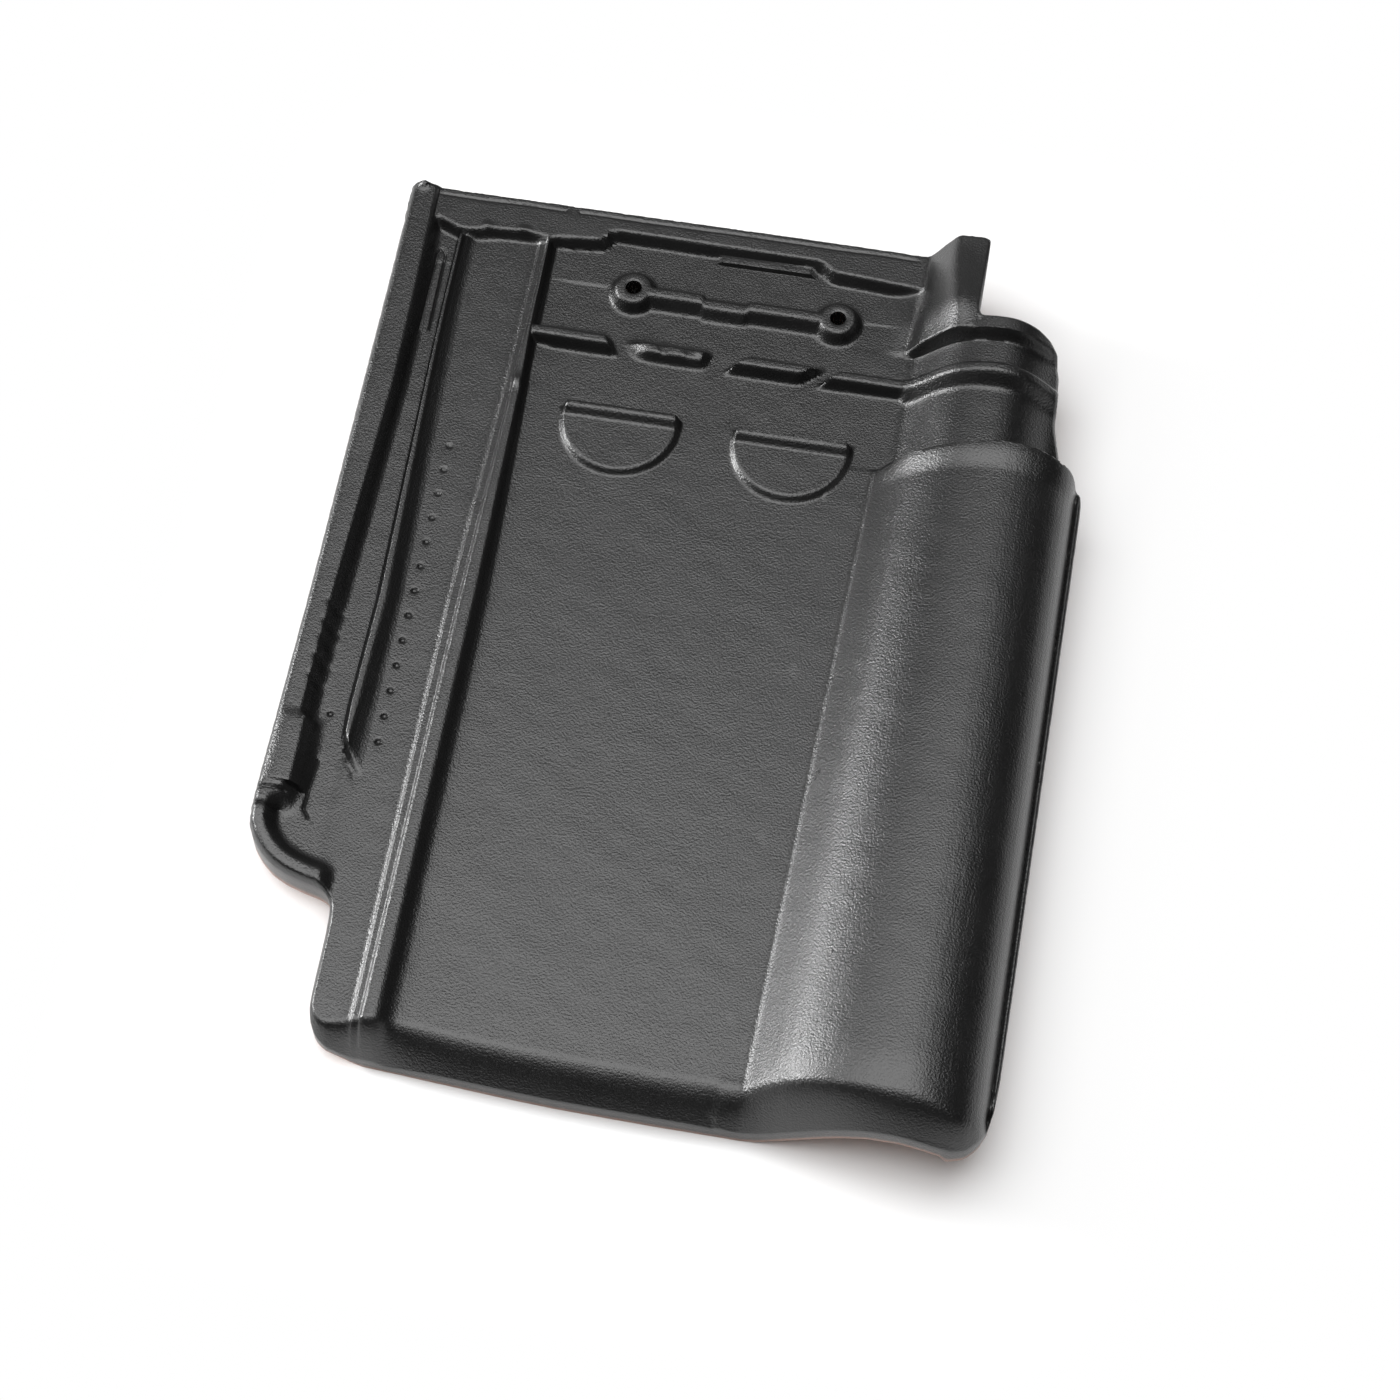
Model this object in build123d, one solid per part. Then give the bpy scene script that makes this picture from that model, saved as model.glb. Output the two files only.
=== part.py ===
from build123d import *
from math import atan2, cos, degrees, pi, sin
import os

# An interlocking clay roof tile lying face up: +Y runs to its head, -Y to its tail, the roll is on +X.
# It is one pressed and fired body. Lengths in mm.

# Plan of the whole tile
TILE_WIDTH = 257.0
TILE_LENGTH = 340.0
PAN_TAIL_BACK = 5.0

# Heights above the floor, and the thickness of the clay
PAN_TOP = 17.0
LOCK_TOP = 18.0
CLAY = 9.5
LIP_WIDTH = 13.0
NOSE_SHARE = 0.7
DRAFT = 1.4
ROOT = 3.0

# Side lock on the left
LOCK_WIDTH = 60.0
LOCK_OVERLAP = 8.0
RIM_WIDTH = 12.0
RIM_RISE = 6.0
RIM_DRAFT = 2.4
RIM_CHANNEL = 11.5
MID_RIB_WIDTH = 8.0
MID_RIB_RISE = 4.0
MID_RIB_TAIL = 53.0
MID_RIB_HEAD = 20.0
PAN_RIB_WIDTH = 10.5
PAN_RIB_RISE = 4.0
PAN_RIB_DRAFT = 2.6
PAN_RIB_TAIL = 14.0
BLOCK_TAIL = 34.0
BLOCK_LENGTH = 26.0
BLOCK_GROW = 2.0
CURB_WIDTH = 8.0
CURB_RISE = 4.3
LOCK_LIP_LIFT = 8.0

# Corners in plan
NOTCH_WIDTH = 33.7
NOTCH_LENGTH = 60.0
LOCK_CORNER = 24.0
NOTCH_FILLET = 4.5
TAIL_CORNER = 9.0
TAIL_PLAY = 0.8
ROLL_CORNER = 15.0
NECK_CORNER = 6.0

# Roll on the right
ROLL_FOOT_HEAD = 73.0
ROLL_FOOT_TAIL = 80.0
HEAD_LAP = 90.5
ROLL_RISE = 31.0
ROLL_EDGE = 20.0
LEDGE_WIDTH = 3.0
LEDGE_RISE = 2.6
ROLL_NOSE = 10.0
ROLL_NOSE_DROP = 14.0
NOSE_TURN_SHARES = [0.0, 0.25, 0.5, 0.75, 1.0]
ROLL_LIP = 12.0
FOOT_SINK = 1.5
HOLLOW_FOOT_SHARE = 0.45
PAN_REACH = 16.0
FOOT_LEAN_SHARES = (1.0, 0.3)
ROLL_SHARES = [
    (0.148, 0.374), (0.255, 0.655), (0.362, 0.85), (0.47, 0.955), (0.59, 1.0), (0.711, 0.982), (0.819, 0.912),
    (0.9, 0.805), (0.957, 0.65), (1.0, 0.26)]
ARCH_SHARES = [(0.03, 0.0), (0.2, 0.26), (0.41, 0.57), (0.64, 0.76), (0.85, 0.7)]

# Neck towards the head, which the next tile's roll covers
NECK_FOOT = 68.0
NECK_RIGHT = 12.0
NECK_RISE = 20.0
NECK_SHARES = [
    (0.1, 0.21), (0.236, 0.645), (0.45, 0.975), (0.59, 1.0), (0.8, 0.81), (0.93, 0.45), (1.0, 0.25)]
NECK_HEAD_BACK = 34.5
NECK_RIB_WIDTH = 7.0
NECK_RIB_RISE = 4.5
NECK_RIB_BACKS = [0.0, 19.0]
FIN_RIGHT = 44.5
FIN_RISE = 21.0
FIN_FOOT = 68.0
FIN_CREST = 55.5

# Head lock; a place across the tile counts from the left edge, or from the right one where negative
HEAD_RIM_WIDTH = 9.0
HEAD_RIM_RISE = 5.0
HEAD_RIM_STEP = 6.0
HEAD_RIM_ENDS = [(9.0, 75.0), (-98.0, -66.0)]
BAR_LENGTH = 32.0
BAR_WIDTH = 4.0
BAR_DEPTH = 2.0
BAR_LEFT = -139.0
BAR_BACK = 3.0

# Nail rib with its two screw holes
HOLE_LEFT = 88.3
HOLE_RIGHT = 94.7
HOLE_BACK = 32.3
HOLE_RADIUS = 2.9
BOSS_RADIUS = 7.5
NAIL_RIB_WIDTH = 8.0
NAIL_RIB_RISE = 5.0
NAIL_NOTCH_LENGTH = 16.0
NAIL_NOTCH_DEPTH = 1.2

# Interrupted rib across the head of the pan
CROSS_RIB_BACK = 52.5
CROSS_RIB_WIDTH = 7.5
CROSS_RIB_RISE = 5.0
CROSS_RIB_SLANTS = [2.5, 2.5, -2.5, -2.5]
CROSS_RIB_ENDS = [(54.0, 86.0), (91.5, 118.0), (-130.0, -100.5), (-95.5, -65.0)]

# Half-moon stops
MOON_RADIUS = 20.6
MOON_SINK = 4.4
MOON_LEFTS = [93.0, -103.5]
MOON_BACK = 81.5
MOON_RISE = 2.2
MOON_LIP_RISE = 4.2
MOON_LIP_RUN = 6.0
MOON_LIP_SHARE = 0.9

# Hanging nibs under the head
NIB_LENGTH = 34.0
NIB_WIDTH = 15.0
NIB_BACK = 9.0
NIB_LEFTS = [62.0, -105.0]
NIB_TAPER = 2.0

X0 = -TILE_WIDTH / 2
X1 = TILE_WIDTH / 2
Y0 = -TILE_LENGTH / 2
Y1 = TILE_LENGTH / 2
PAN_TAIL = Y0 + PAN_TAIL_BACK
PAN_UNDER = PAN_TOP - CLAY
HOLLOW_FOOT = CLAY * HOLLOW_FOOT_SHARE
LOCK_RIGHT = X0 + LOCK_WIDTH
NOTCH_X = X0 + NOTCH_WIDTH
NOTCH_Y = Y0 + NOTCH_LENGTH
ROLL_LENGTH = TILE_LENGTH - HEAD_LAP
ROLL_HEAD = Y0 + ROLL_LENGTH
ROLL_WALL = X1 - LEDGE_WIDTH
NECK_X = X1 - NECK_RIGHT
NECK_HEAD = Y1 - NECK_HEAD_BACK
FIN_X = X1 - FIN_RIGHT
TOP = PAN_TOP + ROLL_RISE
HOLE_SPACING = TILE_WIDTH - HOLE_LEFT - HOLE_RIGHT


def across(place):
    """The x of a place across the tile, counted from its left edge, or from its right one where negative."""
    return (X0 if place > 0 else X1) + place


def block(x_low, x_high, y_low, y_high, z_low, z_high):
    """A plain box between two corners."""
    middle = ((x_low + x_high) / 2, (y_low + y_high) / 2, (z_low + z_high) / 2)
    return Pos(*middle) * Box(x_high - x_low, y_high - y_low, z_high - z_low)


def rib(x_low, x_high, y_low, y_high, base, rise, draft=DRAFT):
    """A straight rib whose sides lean in by the mould's draft; its foot sits in the clay."""
    low = make_face(Polyline(
        (x_low, y_low), (x_high, y_low), (x_high, y_high), (x_low, y_high), close=True))
    top = make_face(Polyline(
        (x_low + draft, y_low + draft), (x_high - draft, y_low + draft),
        (x_high - draft, y_high - draft), (x_low + draft, y_high - draft), close=True))
    foot = block(x_low, x_high, y_low, y_high, base - ROOT, base)
    return foot + loft([Pos(0, 0, base) * low, Pos(0, 0, base + rise) * top])


def slanted_rib(x_low, x_high, y_low, y_high, base, rise, slant):
    """A short rib whose ends run aslant, as a parallelogram in plan."""
    faces = []
    for lift, lean in ((-ROOT, 0), (0, 0), (rise, DRAFT)):
        outline = Polyline(
            (x_low + lean + slant, y_low + lean), (x_high - lean + slant, y_low + lean),
            (x_high - lean - slant, y_high - lean), (x_low + lean - slant, y_high - lean),
            close=True)
        faces.append(Pos(0, 0, base + lift) * make_face(outline))
    return loft(faces[:2], ruled=True) + loft(faces[1:], ruled=True)


def turned_down(x_low, x_high, tail, head, top, bottom):
    """A plate whose tail end is rounded over and turned down to a lip."""
    radius = (top - bottom) * NOSE_SHARE
    strip = Line((tail, bottom), (tail, top - radius))
    nose = JernArc((tail, top - radius), (0, 1), radius, -90)
    rest = Polyline(
        (tail + radius, top), (head, top), (head, top - CLAY), (tail + LIP_WIDTH, top - CLAY),
        (tail + LIP_WIDTH, bottom), (tail, bottom))
    side = Plane.YZ * make_face([strip, nose, rest])
    return Pos(x_low, 0, 0) * extrude(side, x_high - x_low)


def roll_face(y, foot, right, base, rise, low, left=None, skew=0, shares=ROLL_SHARES):
    """Section of a roll: curved from its foot to its right edge, open below, turned in plan by skew."""
    width = right - foot
    start = base if left is not None else base - FOOT_SINK
    top = [(width * across, base + rise * up) for across, up in shares]
    curve = Spline((0, start), *top, tangents=[FOOT_LEAN_SHARES, (0, -1)])
    corners = [top[-1], (width, low), (0, low), (0, start)]
    if left is not None:
        corners[2:] = [(left - foot, low), (left - foot, base), (0, start)]
    section = Plane.XZ * make_face([curve, Polyline(*corners)])
    return Pos(foot, y, 0) * Rot(0, 0, -skew) * section


def tail_skew():
    """Angle by which the roll's tail runs out past the pan's."""
    return degrees(atan2(PAN_TAIL_BACK + TAIL_PLAY, ROLL_FOOT_TAIL))


def roll_body():
    """The roll's outside, its tail end rounded over, with a low ledge along its right edge."""
    foot = X1 - ROLL_FOOT_TAIL
    nose = []
    for turn in NOSE_TURN_SHARES:
        angle = turn * pi / 2
        y = PAN_TAIL + TAIL_PLAY + ROLL_NOSE * (1 - cos(angle))
        base = PAN_TOP - ROLL_NOSE_DROP * (1 - sin(angle))
        nose.append(roll_face(y, foot, ROLL_WALL, base, ROLL_RISE, 0, skew=tail_skew()))
    head = roll_face(ROLL_HEAD, X1 - ROLL_FOOT_HEAD, ROLL_WALL, PAN_TOP, ROLL_RISE, 0)
    ledge = block(ROLL_WALL - ROOT, X1, Y0 - TAIL_PLAY, ROLL_HEAD, ROLL_EDGE - ROOT, ROLL_EDGE + LEDGE_RISE)
    return loft(nose) + loft([nose[-1], head]) + ledge


def roll_hollow():
    """The open space below the roll, behind the lip at its tail."""
    faces = []
    ends = (
        (PAN_TAIL + ROLL_LIP, X1 - ROLL_FOOT_TAIL, tail_skew()),
        (ROLL_HEAD - CLAY, X1 - ROLL_FOOT_HEAD, 0))
    right = ROLL_WALL - CLAY
    for y, foot, skew in ends:
        faces.append(roll_face(y, foot + HOLLOW_FOOT, right, PAN_UNDER, ROLL_RISE, -CLAY, foot - CLAY, skew))
    return loft(faces)


def roll_arch():
    """What is cut away below the roll's tail, so that its lip arches up from the floor."""
    foot = X1 - ROLL_FOOT_TAIL
    arch = [(foot + ROLL_FOOT_TAIL * across, ROLL_RISE * up) for across, up in ARCH_SHARES]
    curve = Spline(*arch, (X1, ROLL_EDGE))
    rest = Polyline((X1, ROLL_EDGE), (X1, -CLAY), (arch[0][0], -CLAY), arch[0])
    side = Plane.XZ * make_face([curve, rest])
    return Pos(0, PAN_TAIL + ROLL_LIP + CLAY, 0) * extrude(side, ROLL_LIP + PAN_TAIL_BACK + 2 * CLAY)


def neck_body(grow):
    """The neck's outside, grown by the height of a rib round it."""
    foot = X1 - NECK_FOOT - grow
    ends = (ROLL_HEAD - CLAY, NECK_HEAD)
    return loft([
        roll_face(y, foot, NECK_X + grow, PAN_TOP, NECK_RISE + grow, PAN_UNDER, shares=NECK_SHARES)
        for y in ends])


def neck_hollow():
    """The open space below the neck, running out at its head."""
    foot = X1 - NECK_FOOT + HOLLOW_FOOT
    ends = (Y0 + ROLL_LIP + CLAY, NECK_HEAD + CLAY)
    return loft([
        roll_face(y, foot, NECK_X - CLAY, PAN_UNDER, NECK_RISE, -CLAY, foot - CLAY, shares=NECK_SHARES)
        for y in ends])


def neck_ribs():
    """Two ribs that run over the neck."""
    grown = neck_body(NECK_RIB_RISE)
    ribs = []
    for back in NECK_RIB_BACKS:
        ribs.append(grown & block(X0, X1, NECK_HEAD - back - NECK_RIB_WIDTH, NECK_HEAD - back, 0, TOP))
    return ribs


def fin():
    """The raised strip that carries the neck's left flank on to the head edge."""
    foot = X1 - FIN_FOOT
    crest = X1 - FIN_CREST
    top = PAN_TOP + FIN_RISE
    side = Polyline(
        (foot, PAN_UNDER), (foot, PAN_TOP), (crest, top), (FIN_X, top), (FIN_X, top - CLAY),
        (crest, top - CLAY), (foot + CLAY, PAN_UNDER), close=True)
    return Pos(0, Y1, 0) * extrude(Plane.XZ * make_face(side), NECK_HEAD_BACK + CLAY)


def plan_prism():
    """The tile's outline in plan, with its rounded and cut-away corners, as a tall block."""
    tail = PAN_TAIL - TAIL_PLAY
    corners = [
        (X0, Y1), (X0, NOTCH_Y), (NOTCH_X, NOTCH_Y), (NOTCH_X, tail),
        (X1 - ROLL_FOOT_TAIL, tail), (X1, Y0 - TAIL_PLAY), (X1, ROLL_HEAD),
        (NECK_X, ROLL_HEAD), (NECK_X, NECK_HEAD), (FIN_X, NECK_HEAD), (FIN_X, Y1)]
    rounds = {
        1: LOCK_CORNER, 2: NOTCH_FILLET, 3: TAIL_CORNER, 5: ROLL_CORNER, 6: NECK_CORNER, 8: NECK_CORNER}
    outline = make_face(Polyline(*corners, close=True))
    for index, radius in rounds.items():
        corner = outline.vertices().sort_by_distance((*corners[index], 0))[0]
        outline = fillet(corner, radius)
    return extrude(outline, TOP + CLAY)


def plates():
    """Pan and side lock, each with its turned-down tail."""
    pan = turned_down(LOCK_RIGHT - LOCK_OVERLAP, X1 - ROLL_FOOT_TAIL + PAN_REACH, PAN_TAIL, Y1, PAN_TOP, 0)
    lock = turned_down(X0, LOCK_RIGHT, PAN_TAIL, Y1, LOCK_TOP, LOCK_LIP_LIFT)
    return pan + lock


def clay_body():
    """The pressed body without its small ribs."""
    body = plates() + roll_body() + neck_body(0) + neck_ribs() + fin()
    body -= roll_hollow() + neck_hollow() + roll_arch()
    body -= block(NECK_X - CLAY - ROOT, X1 + CLAY, Y0 - CLAY, Y1, -CLAY, ROLL_EDGE)
    body -= block(X1 - ROLL_FOOT_HEAD - CLAY, X1, ROLL_HEAD - 2 * CLAY, Y1 + CLAY, -CLAY, PAN_UNDER)
    return body & plan_prism()


def side_lock():
    """Rim, block, curb, middle rib and pan rib of the side lock, above its floor."""
    rim_tail = NOTCH_Y + LOCK_CORNER
    rim = rib(X0, X0 + RIM_WIDTH, rim_tail, Y1, LOCK_TOP, RIM_RISE, RIM_DRAFT)
    block_tail = NOTCH_Y + BLOCK_TAIL
    thick = rib(
        X0, X0 + RIM_WIDTH + BLOCK_GROW, block_tail, block_tail + BLOCK_LENGTH,
        LOCK_TOP, RIM_RISE + BLOCK_GROW / 2, RIM_DRAFT)
    middle_left = X0 + RIM_WIDTH + RIM_CHANNEL
    middle = rib(
        middle_left, middle_left + MID_RIB_WIDTH, NOTCH_Y + MID_RIB_TAIL, Y1 - MID_RIB_HEAD,
        LOCK_TOP, MID_RIB_RISE)
    pan_rib = rib(
        LOCK_RIGHT - PAN_RIB_WIDTH, LOCK_RIGHT, PAN_TAIL + PAN_RIB_TAIL, Y1 - HEAD_RIM_WIDTH,
        LOCK_TOP, PAN_RIB_RISE, PAN_RIB_DRAFT)
    return rim + thick + middle + pan_rib + corner_curb()


def corner_curb():
    """The curb that leads the rim round the rounded corner to the notch."""
    inner = LOCK_CORNER - CURB_WIDTH
    standing = (Align.CENTER, Align.CENTER, Align.MIN)
    ring = Cylinder(LOCK_CORNER, CURB_RISE + ROOT, align=standing)
    ring -= Cylinder(inner, CURB_RISE + ROOT, align=standing)
    ring = Pos(X0 + LOCK_CORNER, NOTCH_Y + LOCK_CORNER, LOCK_TOP - ROOT) * ring
    quarter = block(X0, X0 + LOCK_CORNER, NOTCH_Y, NOTCH_Y + LOCK_CORNER, 0, TOP)
    return ring & quarter


def head_rim():
    """The raised head edge, its middle stepped back, with a narrow recess."""
    wide = rib(X0, FIN_X - FIN_RIGHT / 2, Y1 - HEAD_RIM_WIDTH, Y1, PAN_TOP, HEAD_RIM_RISE)
    rim = wide
    for left, right in HEAD_RIM_ENDS:
        front = Y1 - HEAD_RIM_WIDTH - HEAD_RIM_STEP
        rim += rib(across(left), across(right), front, Y1 - DRAFT, PAN_TOP, HEAD_RIM_RISE)
    bar_left = across(BAR_LEFT)
    bar_head = Y1 - BAR_BACK
    top = PAN_TOP + HEAD_RIM_RISE
    bar_right = bar_left + BAR_LENGTH
    rim -= block(bar_left, bar_right, bar_head - BAR_WIDTH, bar_head, top - BAR_DEPTH, top + BAR_DEPTH)
    return rim


def hole_spots():
    """Plan positions of the two screw holes."""
    first = X0 + HOLE_LEFT
    return [(first, Y1 - HOLE_BACK), (first + HOLE_SPACING, Y1 - HOLE_BACK)]


def nail_rib():
    """The rib that joins the two screw bosses."""
    left = X0 + HOLE_LEFT
    right = left + HOLE_SPACING
    low = Y1 - HOLE_BACK - NAIL_RIB_WIDTH / 2
    body = rib(left, right, low, low + NAIL_RIB_WIDTH, PAN_TOP, NAIL_RIB_RISE)
    for spot in hole_spots():
        boss = Cone(
            BOSS_RADIUS, BOSS_RADIUS - DRAFT, NAIL_RIB_RISE, align=(Align.CENTER, Align.CENTER, Align.MIN))
        body += Pos(*spot, PAN_TOP) * boss
    middle = (left + right) / 2
    top = PAN_TOP + NAIL_RIB_RISE
    half = NAIL_NOTCH_LENGTH / 2
    return body - block(middle - half, middle + half, low, low + NAIL_RIB_WIDTH, top - NAIL_NOTCH_DEPTH, TOP)


def cross_ribs():
    """The interrupted rib across the head of the pan."""
    low = Y1 - CROSS_RIB_BACK - CROSS_RIB_WIDTH
    return [
        slanted_rib(across(left), across(right), low, low + CROSS_RIB_WIDTH, PAN_TOP, CROSS_RIB_RISE, slant)
        for (left, right), slant in zip(CROSS_RIB_ENDS, CROSS_RIB_SLANTS)]


def moon(left):
    """A raised half disc with a ramped lip along its straight side."""
    middle = across(left)
    straight = Y1 - MOON_BACK
    centre = straight - MOON_SINK
    disc = Pos(middle, centre, PAN_TOP - ROOT) * Cylinder(
        MOON_RADIUS, MOON_RISE + ROOT, align=(Align.CENTER, Align.CENTER, Align.MIN))
    half = block(middle - MOON_RADIUS, middle + MOON_RADIUS, centre - MOON_RADIUS, straight, 0, TOP)
    ramp = Polyline(
        (straight - ROOT, PAN_TOP - ROOT), (straight - ROOT, PAN_TOP), (straight, PAN_TOP + MOON_LIP_RISE),
        (straight + MOON_LIP_RUN, PAN_TOP), (straight + MOON_LIP_RUN, PAN_TOP - ROOT), close=True)
    reach = MOON_RADIUS * MOON_LIP_SHARE
    lip = Pos(middle - reach, 0, 0) * extrude(Plane.YZ * make_face(ramp), 2 * reach)
    return (disc & half) + lip


def nib(left):
    """A hanging nib under the head, its upright bearing face towards the tail."""
    head = Y1 - NIB_BACK
    tail = head - NIB_WIDTH
    deep = PAN_UNDER + ROOT
    side = Polyline((tail, 0), (head - NIB_TAPER, 0), (head, deep), (tail, deep), close=True)
    return Pos(across(left), 0, 0) * extrude(Plane.YZ * make_face(side), NIB_LENGTH)


def screw_holes():
    """Two round holes right through the nail rib and the deck."""
    return [Pos(*spot, 0) * Cylinder(HOLE_RADIUS, 2 * TOP) for spot in hole_spots()]


def roof_tile():
    """The whole tile."""
    tile = clay_body() + side_lock() + head_rim() + nail_rib() + cross_ribs()
    tile += [moon(left) for left in MOON_LEFTS]
    tile += [nib(left) for left in NIB_LEFTS]
    return tile - screw_holes()


os.makedirs("parts", exist_ok=True)
export_step(roof_tile(), "parts/roof_tile.step")
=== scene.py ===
import math

import bpy
import numpy as np
from mathutils import Matrix, Vector
from mathutils.geometry import delaunay_2d_cdt
from mathutils.kdtree import KDTree


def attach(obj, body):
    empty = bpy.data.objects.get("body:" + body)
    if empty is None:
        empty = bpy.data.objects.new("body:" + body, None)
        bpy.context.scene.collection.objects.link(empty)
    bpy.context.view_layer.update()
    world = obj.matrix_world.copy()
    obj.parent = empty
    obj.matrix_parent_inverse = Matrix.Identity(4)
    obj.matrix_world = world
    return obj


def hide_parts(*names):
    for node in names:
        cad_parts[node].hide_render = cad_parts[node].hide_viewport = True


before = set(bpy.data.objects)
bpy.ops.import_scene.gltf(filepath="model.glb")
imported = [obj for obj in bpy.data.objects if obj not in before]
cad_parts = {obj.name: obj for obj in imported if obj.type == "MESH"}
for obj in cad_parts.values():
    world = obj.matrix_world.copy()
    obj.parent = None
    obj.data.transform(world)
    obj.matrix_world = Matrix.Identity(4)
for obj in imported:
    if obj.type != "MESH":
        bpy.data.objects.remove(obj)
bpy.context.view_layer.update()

# The tile's lengths are in millimetres, in the CAD frame: tail at -Y, head at +Y, floor at z 0.
# A pair that goes into step() says where a form begins and where it stands in full.
MILLIMETRES_IN_METRE = 1000

# Levels of the pan, of the side lock's bed and of the plate at the head, and the clay's thickness.
PAN = 17.0
LOCK_BED = 18.0
PLATE = 22.0
CLAY = 9.5


def step(a, b, t):
    """0 before a, 1 after b, smooth between; a may be greater than b."""
    s = np.clip((t - a) / (b - a), 0, 1)
    return s * s * (3 - 2 * s)


def bell(t, width):
    """1 at 0, falling off to both sides over a width."""
    return np.exp(-(t / width) ** 2)


def patch(x, y, left, right, tail, head):
    """1 on a rectangle with soft edges, 0 round it."""
    return step(*left, x) * step(*right, x) * step(*tail, y) * step(*head, y)


def table(points, t):
    """Straight lines through the points, read at t."""
    points = sorted(points)
    return np.interp(t, [p[0] for p in points], [p[1] for p in points])


LEAST_BLEND = 1e-9


def smax(a, b, k):
    """The greater of two heights, blended over a width k, which may be 0."""
    k = np.maximum(k, LEAST_BLEND)
    h = np.clip(0.5 + 0.5 * (a - b) / k, 0, 1)
    return b + (a - b) * h + k * h * (1 - h)


def gauss(reach, soft):
    """Weights of a bell curve, which sum to 1."""
    weight = np.exp(-0.5 * (reach / soft) ** 2)
    return weight / weight.sum()


def blend_round(values, reach, weight):
    """Values round a closed line, each blended with its neighbours."""
    return sum(w * np.roll(values, -r, axis=0) for r, w in zip(reach, weight))


class Soft:
    """A polyline with its corners rounded, to be read many times."""

    def __init__(self, points, soft, fine=0.05):
        xs = np.arange(points[0][0] - 6 * soft, points[-1][0] + 6 * soft, fine)
        reach = np.arange(-4 * soft, 4 * soft + fine, fine)
        padded = np.pad(table(points, xs), len(reach) // 2, mode="edge")
        self.x = xs
        self.z = np.convolve(padded, gauss(reach, soft), mode="valid")[: len(xs)]

    def __call__(self, t):
        return np.interp(t, self.x, self.z)


RIPPLE_WAVES = 7
RIPPLE_LEVEL = 3.2
RIPPLE_SIZES = (0.7, 1.6)


def ripple(x, y, size, seed):
    """Smooth seeded noise between about -1 and 1."""
    local = np.random.default_rng(seed)
    total = np.zeros_like(x)
    for _ in range(RIPPLE_WAVES):
        angle = local.uniform(0, 2 * math.pi)
        wave = size * local.uniform(*RIPPLE_SIZES)
        phase = local.uniform(0, 2 * math.pi)
        total += np.sin(2 * math.pi * (x * math.cos(angle) + y * math.sin(angle)) / wave + phase)
    return total / RIPPLE_LEVEL


def waves(x, y, parts):
    """Ripples of several (height, size, seed) together."""
    return sum(high * ripple(x, y, size, seed) for high, size, seed in parts)


# Outline in plan, counterclockwise from the head's left corner.
OUTLINE = [
    (-127.0, 169.9), (-127.6, 169.2), (-127.5, 120), (-127.4, 0), (-127.9, -45), (-128.3, -76),
    (-128.4, -85), (-127.8, -91), (-125.2, -96), (-121.6, -100.3), (-117.5, -103.7), (-112.5, -106.2),
    (-106, -108.2), (-100.2, -109.6), (-97.4, -110.8), (-95.8, -113), (-95.1, -116.5), (-94.8, -124),
    (-94.7, -140), (-94.2, -150), (-93.0, -155), (-90.8, -158.4), (-87.5, -160.4), (-80, -161.2),
    (-63, -162.2), (-46, -163.3), (-28, -164.4), (-10, -165.2), (20, -165.7), (47, -165.8), (62, -166.0),
    (75, -166.4), (87, -167.2), (100, -168.2), (110, -168.9), (116, -168.9), (120.5, -167.3),
    (124, -163.6), (126.3, -158.4), (127.6, -151), (128.2, -141), (128.3, -100), (128.3, 66), (128.2, 74),
    (127.6, 77.8), (125.8, 79.6), (120, 80.6), (118.8, 81.4), (118.4, 92), (116.8, 98), (115.4, 104),
    (115.0, 112), (114.3, 124), (112.6, 129.6), (109.6, 132.8), (105, 134.3), (98, 134.9), (85, 135.1),
    (83.9, 135.6), (83.5, 137), (83.4, 168.8), (82.4, 169.8), (62, 169.6), (30, 169.9), (-60, 169.9)]
OUTLINE_GAP = 1.15
OUTLINE_SOFT = 0.9
OUTLINE_REACH = np.arange(-6, 7)
# The edge is ragged at the head and at the left, and nearly straight elsewhere.
RAGGED = 0.22
STRAIGHT = 0.06
RAGGED_HEAD = 165
RAGGED_LEFT = -126
RAGGED_SIZE = 5
RAGGED_SEED = 31
HALF_SIZE = (128.6, 170.0)
EDGE_POWER = 7


def loop_points(points, gap, soft):
    """Even points round a closed line, its corners rounded by soft."""
    p = np.array(points + points[:1], float)
    along = np.concatenate([[0], np.cumsum(np.hypot(*np.diff(p, axis=0).T))])
    at = np.linspace(0, along[-1], int(along[-1] / gap), endpoint=False)
    even = np.column_stack([np.interp(at, along, p[:, k]) for k in (0, 1)])
    return blend_round(even, OUTLINE_REACH, gauss(OUTLINE_REACH * gap, soft))


def nearest(p, loop):
    """Distance to a closed line, the place on it as a point number with a fraction, and what lies inside."""
    count = len(loop)
    tree = KDTree(count)
    for k, (x, y) in enumerate(loop.tolist()):
        tree.insert((x, y, 0), k)
    tree.balance()
    index = np.array([tree.find((x, y, 0))[1] for x, y in p.tolist()])
    far = np.full(len(p), np.inf)
    place = np.zeros(len(p))
    within = np.zeros(len(p), bool)
    for first in ((index - 1) % count, index):
        a = loop[first]
        ab = loop[(first + 1) % count] - a
        ap = p - a
        t = np.clip((ap * ab).sum(axis=1) / (ab ** 2).sum(axis=1), 0, 1)
        d = np.hypot(*(ap - t[:, None] * ab).T)
        side = ab[:, 0] * ap[:, 1] - ab[:, 1] * ap[:, 0] > 0
        closer = d < far
        far[closer] = d[closer]
        place[closer] = (first + t)[closer]
        within[closer] = side[closer]
    return far, place, within


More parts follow.
